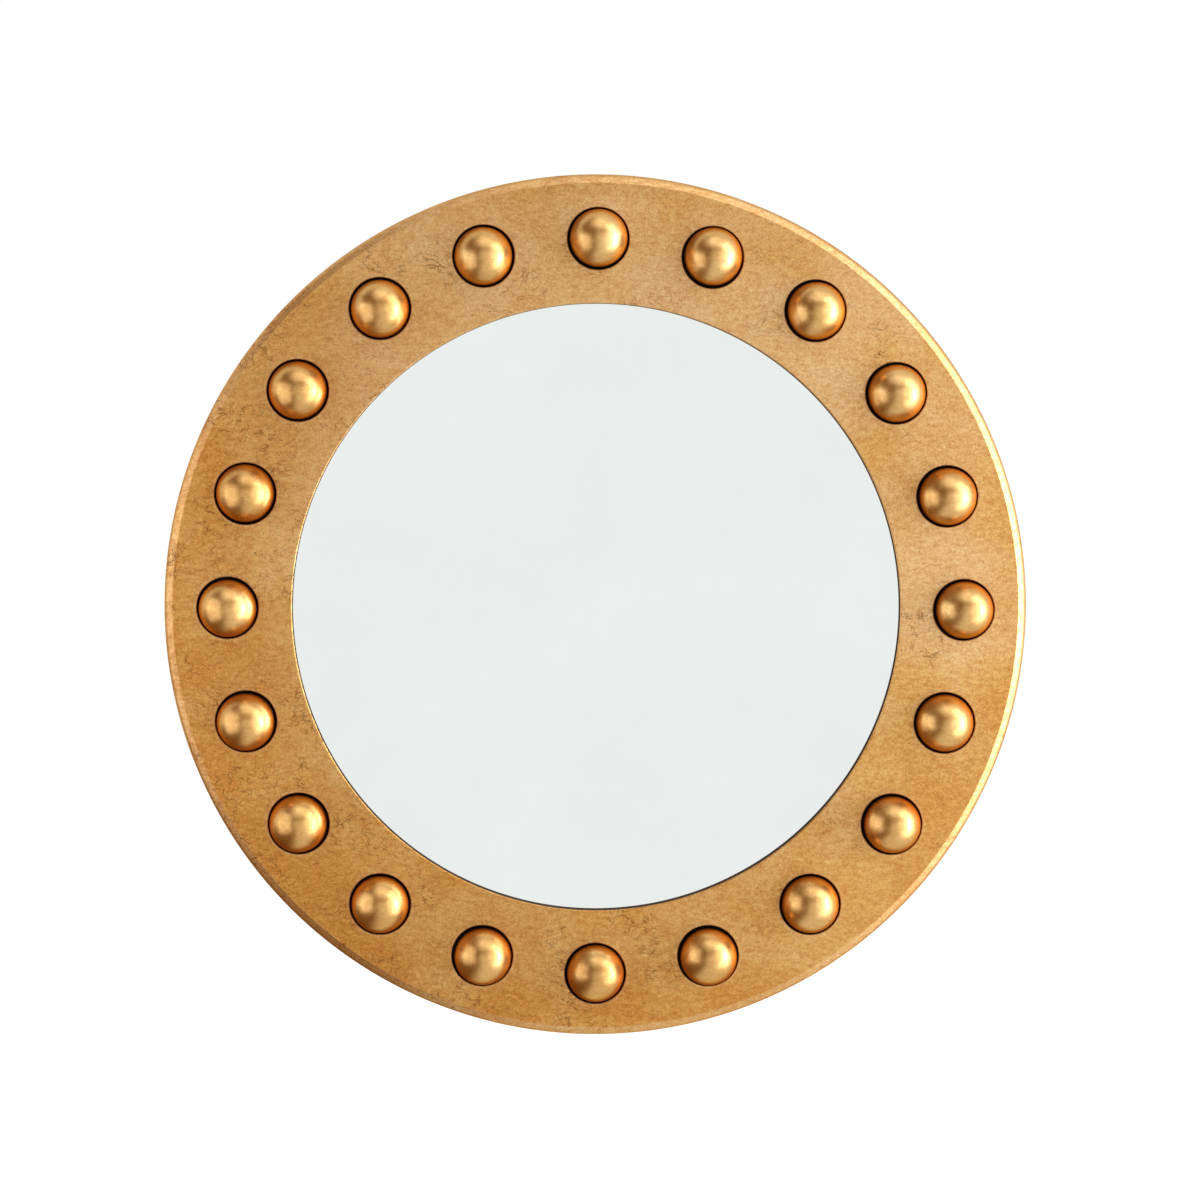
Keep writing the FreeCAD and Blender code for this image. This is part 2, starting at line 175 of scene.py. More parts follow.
@dataclass(frozen=True)
class GoldLeaf:
    """Squares of loose leaf laid over red-brown size on a sealed ground, and lacquered.

    Gives the eye satin gold, painted paler towards the upper right and deeper towards the lower left as
    painted light, with faint straight laps, fine brush wisps, broken dark wrinkles in clusters, scattered
    specks, a pale sheen from the lacquer, a painted highlight on the outer rim, a painted glow round each
    bore and a painted shade and reflection at each ball's foot.
    """

    name: str
    deep: str = "#d1964a"
    middle: str = "#d6a560"
    pale: str = "#e0b67e"
    ground: str = "#4a240c"
    crease: str = "#6e3d14"
    # The gold is painted paler this way over this width, a painted light from the lamps on the right and
    # above, and it also pales inwards from the circle of bores.
    painted_light_way: Triple = (0.5, 0.0, 0.7)
    painted_light_span_mm: float = 1100.0
    inward: float = 3.5
    cloud_mm: float = 120.0
    clouds: float = 0.45
    # Each square laps its neighbours by a narrow line, which is worn away in places.
    lap_mm: Pair = (84.0, 62.0)
    lap_line_mm: float = 0.9
    askew_degrees: float = 4.0
    row_shift: float = 0.37
    shades: tuple[str, str, str] = ("#707070", "#c8c8c8", "#a0a0a0")
    shading: float = 0.28
    laps: float = 0.4
    wear_mm: float = 40.0
    # A brush draws the wisps out sideways, and they wander this far.
    drawn: Triple = (0.55, 1.0, 1.25)
    wander_mm: Pair = (38.0, 20.0)
    wisp_mm: float = 5.0
    wisps: float = 0.7
    # The real grain is finer than the render can show, so it is drawn this coarse.
    grain_mm: float = 1.9
    grain: float = 0.42
    # Creases run along the edges of curled cells of two sizes, each with its line's width.
    wrinkle_mm: float = 10.0
    wrinkles: float = 0.62
    curl_mm: float = 12.0
    cells: tuple[Pair, Pair] = ((1.0, 0.045), (2.4, 0.02))
    # They gather in clusters, more on the handled side, and break off: noise from, to, lean.
    cluster_mm: float = 55.0
    clusters: Triple = (0.5, 0.66, 0.22)
    break_mm: float = 9.0
    breaks: Triple = (0.42, 0.54, 0.0)
    handled: Triple = (-1.0, 0.0, -0.3)
    speck_mm: float = 9.0
    speck_chance: float = 0.55
    speck_size: float = 0.11
    specks: float = 0.6
    rough: Pair = (0.52, 0.4)
    creased_rough: float = 0.25
    relief_mm: float = 0.045
    lacquer: float = 0.1
    lacquer_rough: float = 0.34
    edge_tint: str = "#d69f4a"
    # The rim outside this radius is painted paler, a painted highlight on the bevelled, rounded edge.
    painted_highlight_from_mm: float = 446.5
    painted_highlight_fade_mm: float = 2.0
    painted_highlight: float = 0.6
    # A painted shade and reflection gathers between these depths, where a ball sinks into its bore:
    # darker, more orange gold for the shaded gap and the gold face mirrored low on the ball.
    painted_foot_shade_mm: Pair = (0.0, 1.0)
    painted_foot_shade: float = 0.85
    painted_foot_shade_colour: str = "#a8691c"
    # Painted glows of reflected light around the bores, light thrown back by each ball onto the face:
    # their circle, their number, where they start and end.
    halo_circle_mm: float = 389.6
    halo_count: int = 20
    painted_glow_mm: Pair = (37.0, 33.4)
    painted_glow: float = 0.45

    def make(self) -> Material:
        """Build the material."""
        material, tree, place = start_material(self.name)
        bent = self._bent(tree, place)
        wisps = self._drift(tree, bent, self.wisp_mm)
        grain = self._drift(tree, place, self.grain_mm)
        shades, laps = self._laid_squares(tree, place)
        wrinkles = self._wrinkles(tree, place, bent)
        apart = add_node(tree, "SeparateXYZ", (place,))
        squared = 0.0
        for axis in "XZ":
            inputs = (apart[axis], apart[axis], squared)
            squared = add_node(tree, "Math", inputs, operation="MULTIPLY_ADD")[0]
        stops = ((0.0, self.deep), (1.0, self.pale), (0.5, self.middle))
        gold = add_node(tree, "ValToRGB", (self._tone_with_painted_light(tree, place, squared),), stops)[0]
        # Painted highlight: the outer rim is mixed towards the pale gold.
        ends = ((self.painted_highlight_from_mm + fade) * MM for fade in (0.0, self.painted_highlight_fade_mm))
        painted_highlight = add_node(tree, "MapRange", (squared, *(end**2 for end in ends), 0.0, self.painted_highlight))[0]
        # Painted shade and reflection: darker, more orange gold where a ball sinks into its bore.
        inputs = (apart["Y"], *(depth * MM for depth in self.painted_foot_shade_mm), 0.0, self.painted_foot_shade)
        painted_foot_shade = add_node(tree, "MapRange", inputs, interpolation_type="SMOOTHSTEP")[0]
        # The first three layers paint light and shade: the rim's painted highlight, the painted glow
        # round each bore and the painted shade at a ball's foot.
        layers = (
            ("MIX", painted_highlight, linear(self.pale)),
            ("MIX", self._painted_glow(tree, apart, squared), linear(self.pale)),
            ("MIX", painted_foot_shade, linear(self.painted_foot_shade_colour)),
            ("SOFT_LIGHT", self.shading, shades),
            ("SOFT_LIGHT", self.grain * self.wisps, wisps),
            ("SOFT_LIGHT", self.grain, grain),
            ("MIX", laps, linear(self.deep)),
            ("MIX", self._specks(tree, place), linear(self.ground)),
            ("MIX", wrinkles, linear(self.crease)),
        )
        for blend, share, colour in layers:
            inputs = {0: share, 6: gold, 7: colour}
            gold = add_node(tree, "Mix", inputs, data_type="RGBA", blend_type=blend)[2]
        satin = add_node(tree, "MapRange", (wisps, 0.0, 1.0, *self.rough))[0]
        inputs = (wrinkles, self.creased_rough, satin)
        rough = add_node(tree, "Math", inputs, operation="MULTIPLY_ADD")[0]
        height = add_node(tree, "Math", (wisps, wrinkles), operation="SUBTRACT")[0]
        height = add_node(tree, "Math", (grain, 0.5, height), operation="MULTIPLY_ADD")[0]
        shader = {
            "Base Color": gold,
            "Metallic": 1.0,
            "Roughness": rough,
            "Specular Tint": linear(self.edge_tint),
            "Coat Weight": self.lacquer,
            "Coat Roughness": self.lacquer_rough,
        }
        end_material(tree, shader, height, self.relief_mm)
        return material

    def _drift(self, tree: Tree, place: Socket, size_mm: float) -> Socket:
        """Return fine noise of this size, stretched to its full range."""
        inputs = {"Vector": place, "Scale": per_metre(size_mm), "Detail": 3.0, "Roughness": 0.65}
        noise = add_node(tree, "TexNoise", inputs)[0]
        return add_node(tree, "MapRange", (noise, 0.32, 0.68))[0]

    def _painted_glow(self, tree: Tree, apart: bpy.types.NodeOutputs, squared: Socket) -> Socket:
        """Find the painted glow of reflected light around each bore's mouth.

        Args:
            tree: the node tree.
            apart: the piece's coordinates, one by one.
            squared: the squared distance from the mirror's axis.

        Returns:
            How strongly each point carries the painted glow.
        """
        circle = self.halo_circle_mm * MM
        half_sector = math.pi / self.halo_count
        angle = add_node(tree, "Math", (apart["X"], apart["Z"]), operation="ARCTAN2")[0]
        angle = add_node(tree, "Math", (angle, half_sector, -half_sector), operation="WRAP")[0]
        along = add_node(tree, "Math", (angle,), operation="COSINE")[0]
        radius = add_node(tree, "Math", (squared,), operation="SQRT")[0]
        cross = add_node(tree, "Math", (radius, along), operation="MULTIPLY")[0]
        off = add_node(tree, "Math", (cross, -2 * circle, squared), operation="MULTIPLY_ADD")[0]
        off = add_node(tree, "Math", (off, circle**2), operation="ADD")[0]
        off = add_node(tree, "Math", (off,), operation="SQRT")[0]
        # Painted glow: the face is drawn paler in a ring round each bore's mouth.
        inputs = (off, *(size * MM for size in self.painted_glow_mm), 0.0, self.painted_glow)
        return add_node(tree, "MapRange", inputs, interpolation_type="SMOOTHSTEP")[0]

    def _bent(self, tree: Tree, place: Socket) -> Socket:
        """Bend the coordinates by slow noise and draw them out sideways, as a brush does."""
        size_mm, reach_mm = self.wander_mm
        inputs = {"Vector": place, "Scale": per_metre(size_mm), "Detail": 3.0}
        drift = add_node(tree, "TexNoise", inputs)["Color"]
        inputs = (drift, (reach_mm * MM,) * 3, place)
        bent = add_node(tree, "VectorMath", inputs, operation="MULTIPLY_ADD")[0]
        return add_node(tree, "Mapping", {"Vector": bent, "Scale": self.drawn})[0]

    def _tone_with_painted_light(self, tree: Tree, place: Socket, squared: Socket) -> Socket:
        """Tone the gold from deep to pale: painted light towards the upper right, paler inwards, with
        random clouds.

        Args:
            tree: the node tree.
            place: the piece's coordinates.
            squared: the squared distance from the mirror's axis.

        Returns:
            The tone, from 0, deep, to 1, pale.
        """
        # Painted light: paler towards the upper right, where the lamps stand, and deeper towards the
        # lower left.
        lean = add_node(tree, "VectorMath", (place, self.painted_light_way), operation="DOT_PRODUCT")["Value"]
        reach = self.painted_light_span_mm * MM / 2
        tone = add_node(tree, "MapRange", (lean, -reach, reach))[0]
        tone = add_node(tree, "Math", (squared, -self.inward, tone), operation="MULTIPLY_ADD")[0]
        inward = (self.halo_circle_mm * MM) ** 2 * self.inward
        tone = add_node(tree, "Math", (tone, inward), operation="ADD")[0]
        inputs = {"Vector": place, "Scale": per_metre(self.cloud_mm), "Detail": 6.0, "Roughness": 0.62}
        clouds = add_node(tree, "TexNoise", inputs)[0]
        clouds = add_node(tree, "MapRange", (clouds, 0.3, 0.7, -self.clouds, self.clouds))[0]
        return add_node(tree, "Math", (tone, clouds), operation="ADD", use_clamp=True)[0]

    def _laid_squares(self, tree: Tree, place: Socket) -> tuple[Socket, Socket]:
        """Draw the overlapping squares.

        Args:
            tree: the node tree.
            place: the piece's coordinates.

        Returns:
            The leaves' own slight shades, and the broken lines of their laps.
        """
        laid = place
        for angles in ((-RIGHT_ANGLE, 0.0, 0.0), (0.0, 0.0, math.radians(self.askew_degrees))):
            laid = add_node(tree, "Mapping", {"Vector": laid, "Rotation": angles})[0]
        inputs = {
            "Vector": laid,
            **dict(zip(("Color1", "Color2", "Mortar"), map(linear, self.shades))),
            "Scale": 1.0,
            "Mortar Size": self.lap_line_mm * MM,
            "Mortar Smooth": 0.8,
            "Brick Width": self.lap_mm[0] * MM,
            "Row Height": self.lap_mm[1] * MM,
        }
        leaves = add_node(tree, "TexBrick", inputs, offset=self.row_shift)
        inputs = {"Vector": place, "Scale": per_metre(self.wear_mm), "Detail": 2.0}
        wear = add_node(tree, "TexNoise", inputs)[0]
        kept = add_node(tree, "MapRange", (wear, 0.5, 0.64, 0.0, self.laps))[0]
        laps = add_node(tree, "Math", (leaves["Fac"], kept), operation="MULTIPLY")[0]
        return leaves["Color"], laps

    def _wrinkles(self, tree: Tree, place: Socket, bent: Socket) -> Socket:
        """Draw broken hairline creases as the edges of curled cells, gathered in clusters.

        Args:
            tree: the node tree.
            place: the piece's coordinates.
            bent: the same coordinates, bent and drawn out.

        Returns:
            How much of the ground each point shows.
        """
        inputs = {"Vector": place, "Scale": per_metre(self.wrinkle_mm), "Detail": 3.0}
        curl = add_node(tree, "TexNoise", inputs)["Color"]
        inputs = (curl, (self.curl_mm * MM,) * 3, bent)
        curled = add_node(tree, "VectorMath", inputs, operation="MULTIPLY_ADD")[0]
        lines = 0.0
        for size, width in self.cells:
            inputs = {"Vector": curled, "Scale": per_metre(self.wrinkle_mm * size)}
            edges = add_node(tree, "TexVoronoi", inputs, feature="DISTANCE_TO_EDGE")["Distance"]
            line = add_node(tree, "MapRange", (edges, width, width * 0.3))[0]
            lines = add_node(tree, "Math", (lines, line), operation="MAXIMUM")[0]
        handled = add_node(tree, "VectorMath", (place, self.handled), operation="DOT_PRODUCT")["Value"]
        gatherings = ((self.cluster_mm, *self.clusters), (self.break_mm, *self.breaks))
        for size_mm, low, high, lean in gatherings:
            inputs = {"Vector": place, "Scale": per_metre(size_mm), "Detail": 2.0}
            noise = add_node(tree, "TexNoise", inputs)[0]
            noise = add_node(tree, "Math", (handled, lean, noise), operation="MULTIPLY_ADD")[0]
            kept = add_node(tree, "MapRange", (noise, low, high, 0.0, self.wrinkles**0.5))[0]
            lines = add_node(tree, "Math", (lines, kept), operation="MULTIPLY")[0]
        return lines

    def _specks(self, tree: Tree, place: Socket) -> Socket:
        """Scatter small dark specks of bared ground, a few of them larger."""
        cells = add_node(tree, "TexVoronoi", {"Vector": place, "Scale": per_metre(self.speck_mm)})
        chance = add_node(tree, "SeparateColor", (cells["Color"],))[0]
        size = add_node(tree, "MapRange", (chance, self.speck_chance, 1.0, 0.0, self.speck_size))[0]
        inside = add_node(tree, "Math", (size, cells["Distance"]), operation="SUBTRACT")[0]
        return add_node(tree, "MapRange", (inside, 0.0, 0.05, 0.0, self.specks))[0]


@dataclass(frozen=True)
class MottledFinish:
    """A finish of one material whose colour and gloss drift between two states.

    Gives the eye paint, bare board, felt, rubber or plated steel, each by its own colours, scale
    of mottle, gloss and fine relief.
    """

    name: str
    first: str
    second: str
    mottle_mm: float
    rough: Pair
    relief_mm: float
    # Grit that is finer than the render can show is drawn as coarse as it needs to show.
    grit_mm: float
    metallic: float = 0.0
    sheen: float = 0.0
    grit_share: float = 0.4
    # Where the mixed noise reaches its first and its second colour, and its first and last gloss.
    colours_at: Pair = (0.55, 0.85)
    gloss_at: Pair = (0.5, 0.9)

    def make(self) -> Material:
        """Build the material."""
        material, tree, place = start_material(self.name)
        inputs = {"Vector": place, "Scale": per_metre(self.mottle_mm), "Detail": 6.0, "Roughness": 0.65}
        mottle = add_node(tree, "TexNoise", inputs)[0]
        inputs = {"Vector": place, "Scale": per_metre(self.grit_mm), "Detail": 3.0, "Roughness": 0.6}
        grit = add_node(tree, "TexNoise", inputs)[0]
        mixed = add_node(tree, "Math", (grit, self.grit_share, mottle), operation="MULTIPLY_ADD")[0]
        stops = tuple(zip(self.colours_at, (self.first, self.second)))
        shader = {
            "Base Color": add_node(tree, "ValToRGB", (mixed,), stops)[0],
            "Metallic": self.metallic,
            "Roughness": add_node(tree, "MapRange", (mixed, *self.gloss_at, *self.rough))[0],
            "Sheen Weight": self.sheen,
        }
        end_material(tree, shader, grit, self.relief_mm)
        return material


# Loose leaf on a flat board: satin, with its laps, wrinkles and specks, painted paler towards the upper
# right as painted light, with a painted highlight on its rim and a painted glow round each bore.
BOARD_LEAF = GoldLeaf("leaf_on_board")
# Leaf rubbed down on turned wood: smoother and brighter, faintly painted paler towards the upper right,
# with a darker painted shade and reflection around its foot, where it sinks into its bore.
BALL_LEAF = GoldLeaf(
    "leaf_on_turned_wood",
    deep="#cf9f5c",
    middle="#dbae6c",
    pale="#e2ba7e",
    painted_light_span_mm=2400.0,
    cloud_mm=40.0,
    clouds=0.25,
    inward=0.0,
    wrinkle_mm=5.0,
    cluster_mm=25.0,
    wrinkles=0.2,
    grain=0.22,
    rough=(0.36, 0.3),
    relief_mm=0.02,
    lacquer=0.0,
    painted_highlight_from_mm=1000.0,
    painted_foot_shade_mm=(-58.5, -47.0),
    painted_glow=0.0,
)
# Matt paint inside the bores drinks the light, so each ball stands in a black gap.
BORE_PAINT = MottledFinish("matt_black_bore_paint", "#050404", "#0d0b0a", 12.0, (0.8, 0.9), 0.05, 1.5)
# Brushed paint on the back is a softly uneven charcoal.
BOARD_PAINT = MottledFinish("brushed_black_paint", "#151413", "#262321", 60.0, (0.55, 0.72), 0.08, 1.5)
# Silver behind float glass mirrors nearly all of the light, a little green.
SILVERING = MottledFinish(
    "silvered_float_glass", "#eef2f0", "#f0f4f2", 180.0, (0.004, 0.012), 0.0, 60.0, 1.0
)
# Ground glass is a frosted green-grey line around the silver.
GROUND_EDGE = MottledFinish("ground_glass_edge", "#8fa79c", "#a9bdb3", 5.0, (0.45, 0.6), 0.03, 0.6)
# Pressed fibre board is dull brown with a close speckle.
FIBRE = MottledFinish("bare_fibre_board", "#8a6845", "#a5825a", 5.0, (0.68, 0.85), 0.08, 1.2)
# Needled wool felt is flat dark grey with a faint bloom.
WOOL_FELT = MottledFinish("needled_felt", "#2c2c2e", "#4a4a4d", 6.0, (0.88, 0.95), 0.2, 1.2, 0.0, 0.3)
# Phosphated steel is a warm dull grey that barely glints.
PHOSPHATE = MottledFinish("grey_phosphate_steel", "#4a4744", "#857f77", 3.0, (0.34, 0.48), 0.03, 0.6, 0.9)
# Bright zinc plate shines cold, with a little spangle.
ZINC = MottledFinish("bright_zinc_plate", "#b5b8bb", "#dadcdd", 4.0, (0.2, 0.36), 0.02, 0.6, 1.0)
# Drawn wire is smoother than the plate and catches sharper lights.
ZINC_WIRE = MottledFinish("drawn_zinc_wire", "#b9bbbc", "#dddddd", 2.0, (0.16, 0.28), 0.02, 0.5, 1.0)
# Moulded rubber is even near-black with a soft sheen.
RUBBER = MottledFinish("moulded_black_rubber", "#19191a", "#343435", 7.0, (0.55, 0.75), 0.05, 0.7)


def all_of(mesh: Shape) -> list:
    """Return every vertex, edge and face."""
    return mesh.verts[:] + mesh.edges[:] + mesh.faces[:]


def only(kind: type, items: Iterable[Any]) -> list:
    """Return the items of one kind."""
    return [item for item in items if isinstance(item, kind)]


def chain(mesh: Shape, points: Sequence[Vert]) -> list[Edge]:
    """Join vertices by edges, each to the next."""
    return [mesh.edges.new(pair) for pair in zip(points, points[1:])]


def outline(mesh: Shape, corners: Iterable[Pair]) -> list[Vert]:
    """Draw an open outline above the axis along Y.

    Args:
        mesh: the bmesh that gets it.
        corners: radius and depth of each corner, in metres.

    Returns:
        Its vertices in order.
    """
    points = [mesh.verts.new((0, depth, radius)) for radius, depth in corners]
    chain(mesh, points)
    return points


def ease(mesh: Shape, corner: Vert, reach: float, segments: int) -> None:
    """Round a corner of an outline by an arc that starts this far from it on each side."""
    bmesh.ops.bevel(
        mesh, geom=[corner], offset=reach, offset_type="OFFSET", segments=segments, profile=0.5,
        affect="VERTICES", material=-1,
    )


def turn(
    mesh: Shape,
    geometry: list,
    angle: float,
    steps: int,
    copies: bool = False,
    centre: Vector = ORIGIN,
    axis: Vector = WALLWARDS,
) -> list:
    """Sweep geometry about an axis, or copy it around; a full sweep closes on itself.

    Args:
        mesh: the bmesh.
        geometry: its vertices, edges and faces that are swept.
        angle: the sweep in radians.
        steps: into how many steps it is divided.
        copies: whether the geometry is copied at each step instead of swept.
        centre: a point on the axis.
        axis: the axis's direction.

    Returns:
        The geometry at the sweep's end.
    """
    closed = math.isclose(angle, math.tau) and not copies
    spun = bmesh.ops.spin(
        mesh, geom=geometry, cent=centre, axis=axis, dvec=ORIGIN, angle=angle, steps=steps,
        use_merge=closed, use_normal_flip=False, use_duplicate=copies,
    )
    return spun["geom_last"]


def fill(mesh: Shape, border: Iterable[Edge], normal: Vector = WALLWARDS) -> list[Face]:
    """Fill a flat border, with its holes left open, and return the faces."""
    filled = bmesh.ops.triangle_fill(
        mesh, use_beauty=True, use_dissolve=False, edges=list(border), normal=normal
    )
    return only(Face, filled["geom"])


def cut_off(mesh: Shape, place: Vector, outward: Vector) -> None:
    """Cut off what lies outward of a plane, and close the cut."""
    cut = bmesh.ops.bisect_plane(
        mesh, geom=all_of(mesh), dist=MERGE, plane_co=place, plane_no=outward, clear_outer=True
    )
    bmesh.ops.contextual_create(mesh, geom=only(Edge, cut["geom_cut"]))


def join_in(mesh: Shape, other: Shape, place: Matrix | None = None) -> None:
    """Add a copy of another bmesh, moved by a matrix."""
    copy = bpy.data.meshes.new("copy")
    other.to_mesh(copy)
    if place:
        copy.transform(place)
    mesh.from_mesh(copy)
    bpy.data.meshes.remove(copy)


def around(radius: float, degrees: float) -> Vector:
    """Return the place at this radius and angle from the top, clockwise seen from the room."""
    angle = math.radians(degrees)
    return Vector((radius * math.sin(angle), 0, radius * math.cos(angle)))


def show(name: str, data: bpy.types.ID) -> bpy.types.Object:
    """Put a mesh, a lamp or a camera in the scene."""
    shown = bpy.data.objects.new(name, data)
    bpy.context.scene.collection.objects.link(shown)
    return shown


def finish_piece(
    mesh: Shape,
    name: str,
    finishes: Sequence[Material],
    nodes: Iterable[str],
    body: str = BODY,
    sharp_degrees: float = 25.0,
    even: bool = False,
) -> bpy.types.Object:
    """Turn a bmesh into a finished piece that stands for some CAD nodes.

    Args:
        mesh: the shape, in its place. It is freed.
        name: the piece's name.
        finishes: its materials, in the order of the faces' material numbers.
        nodes: the CAD nodes that it stands for.
        body: the body that it rides on.
        sharp_degrees: the angle between faces past which their edge stays crisp.
        even: whether broad flat faces keep their shading flat beside their eased edges.

    Returns:
        The piece.
    """
    bmesh.ops.remove_doubles(mesh, verts=mesh.verts[:], dist=MERGE)
    bmesh.ops.recalc_face_normals(mesh, faces=mesh.faces[:])
    for face in mesh.faces:
        face.smooth = True
    for edge in mesh.edges:
        edge.smooth = edge.is_manifold and edge.calc_face_angle() < math.radians(sharp_degrees)
    data = bpy.data.meshes.new(name)
    mesh.to_mesh(data)
    mesh.free()
    piece = show(name, data)
    for finish in finishes:
        data.materials.append(finish)
    if even:
        piece.modifiers.new("even_shading", "WEIGHTED_NORMAL").keep_sharp = True
    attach(piece, body)
    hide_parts(*nodes)
    LOG.info("%s: %d faces", name, len(data.polygons))
    return piece


@dataclass
class PiercedRing:
    """A flat ring made as one sector around its holes and then copied about the axis."""

    sectors: int = 20
    steps: int = 36
    spokes: int = 12

    def sector(self) -> float:
        """Return the sector's angle in radians."""
        return math.tau / self.sectors

    def hole(
        self, mesh: Shape, centre: Vector, corners: Sequence[Pair], segments: int,
        eased: tuple[int, float, int] | None = None,
    ) -> list[list[Edge]]:
        """Turn a hole's wall about its own axis.

        Args:
            mesh: the bmesh that gets it.
            centre: where the hole's axis stands.
            corners: radius and depth of the wall's corners.
            segments: the hole's sides.
            eased: a rounded corner's number, how far from it its arc starts and its segments.

        Returns:
            The edges of the rim nearest the room and of the rim nearest the wall.
        """
        wall = bmesh.new()
        points = outline(wall, corners)
        if eased:
            number, reach, pieces = eased
            ease(wall, points[number], reach, pieces)
        turn(wall, all_of(wall), math.tau, segments)
        known = set(mesh.edges)
        join_in(mesh, wall, Matrix.Translation(centre))
        wall.free()
        rims = [edge for edge in mesh.edges if edge not in known and edge.is_boundary]
        ends = [min(depth for _, depth in corners), max(depth for _, depth in corners)]
        return [[e for e in rims if math.isclose(e.verts[0].co.y, end, abs_tol=MERGE)] for end in ends]

    def plate(
        self, mesh: Shape, start_degrees: float, radii: Pair, depth: float,
        rims: Sequence[list[Edge]], material: int = 0,
    ) -> None:
        """Fill one flat sector around its holes.

        Args:
            mesh: the bmesh that gets it.
            start_degrees: where the sector starts.
            radii: the plate's inner and outer radius.
            depth: the plate's place along Y.
            rims: the edges of each hole's rim.
            material: the faces' material number.
        """
        edge_loop = bmesh.new()
        outline(edge_loop, [(radius, depth) for radius in radii])
        bmesh.ops.subdivide_edges(edge_loop, edges=edge_loop.edges[:], cuts=self.spokes - 1)
        spoke = all_of(edge_loop)
        ends = [vert for vert in edge_loop.verts if len(vert.link_edges) == 1]
        turn(edge_loop, ends, self.sector(), self.steps)
        turn(edge_loop, spoke, self.sector(), 1, copies=True)
        bmesh.ops.remove_doubles(edge_loop, verts=edge_loop.verts[:], dist=MERGE)
        known = set(mesh.edges)
        join_in(mesh, edge_loop, Matrix.Rotation(math.radians(start_degrees), 4, "Y"))
        edge_loop.free()
        border = [edge for edge in mesh.edges if edge not in known]
        border += [edge for rim in rims for edge in rim]
        for face in fill(mesh, border):
            face.material_index = material

    def band(
        self, mesh: Shape, start_degrees: float, corners: Sequence[Pair],
        eased: Mapping[int, tuple[float, int]], material: int = 0,
    ) -> None:
        """Sweep an outline through the sector.

        Args:
            mesh: the bmesh that gets it.
            start_degrees: where the sector starts.
            corners: radius and depth of the outline's corners.
            eased: rounded corners' numbers, each with how far its arc reaches and its segments.
            material: the faces' material number.
        """
        strip = bmesh.new()
        points = outline(strip, corners)
        for number, (reach, segments) in eased.items():
            ease(strip, points[number], reach, segments)
        turn(strip, all_of(strip), self.sector(), self.steps)
        for face in strip.faces:
            face.material_index = material
        join_in(mesh, strip, Matrix.Rotation(math.radians(start_degrees), 4, "Y"))
        strip.free()

    def close(self, mesh: Shape) -> None:
        """Copy the sector around the axis."""
        bmesh.ops.remove_doubles(mesh, verts=mesh.verts[:], dist=MERGE)
        turn(mesh, all_of(mesh), math.tau - self.sector(), self.sectors - 1, copies=True)


@dataclass
class GildedRing(PiercedRing):
    """The gilded ring: a bevelled rounded rim, an eased sight edge, a rebate and twenty bores."""

    sight_mm: float = 322.0
    sight_round_mm: float = 1.2
    rebate_mm: float = 10.0
    bevel_mm: float = 5.3
    bevel_degrees: float = 30.0
    edge_round_mm: float = 8.6
    arris_mm: float = 1.5
    bore_mm: float = 32.5
    bore_round_mm: float = 1.1
    bore_circle_mm: float = 389.6
    bore_segments: int = 96
    round_segments: int = 5
    margin_mm: float = 1.0

    def build(self) -> bpy.types.Object:
        """Model and dress the ring."""
        low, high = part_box("front_ring")
        face, seam, outer = low.y, high.y, high.x
        lip_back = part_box("mirror_glass")[0].y
        sight, margin, arris = self.sight_mm * MM, self.margin_mm * MM, self.arris_mm * MM
        rebate = sight + self.rebate_mm * MM
        slope = math.radians(self.bevel_degrees)
        edge_round = self.edge_round_mm * MM
        crease = outer - edge_round * (1 - math.sin(slope)) - self.bevel_mm * MM
        edge_reach = edge_round * math.tan((RIGHT_ANGLE - slope) / 2)
        fall = (outer - crease) * math.tan(slope)
        bore, bore_round = self.bore_mm * MM, self.bore_round_mm * MM
        start = -180 / self.sectors
        mesh = bmesh.new()
        mouth, back_mouth = self.hole(
            mesh,
            around(self.bore_circle_mm * MM, 0),
            ((bore + bore_round + margin, face), (bore, face), (bore, seam)),
            self.bore_segments,
            (1, bore_round, self.round_segments),
        )
        for wall in mesh.faces:
            wall.material_index = int(wall.calc_center_median().y > face + bore_round)
        sight_round = self.sight_round_mm * MM
        eased_sight = sight + sight_round + margin
        self.plate(mesh, start, (eased_sight, crease), face, [mouth])
        self.plate(mesh, start, (rebate, outer - arris), seam, [back_mouth], material=1)
        rim = ((crease, face), (outer, face + fall), (outer, seam - arris), (outer - arris, seam))
        self.band(mesh, start, rim, {1: (edge_reach, 2 * self.round_segments)})
        lip = ((eased_sight, face), (sight, face), (sight, face + 2 * sight_round))
        self.band(mesh, start, lip, {1: (sight_round, self.round_segments)})
        inner_wall = (lip[-1], (sight, lip_back), (rebate, lip_back), (rebate, seam))
        self.band(mesh, start, inner_wall, {}, material=1)
        self.close(mesh)
        finishes = (BOARD_LEAF.make(), BORE_PAINT.make())
        return finish_piece(mesh, "gilded_ring", finishes, ["front_ring"], even=True)


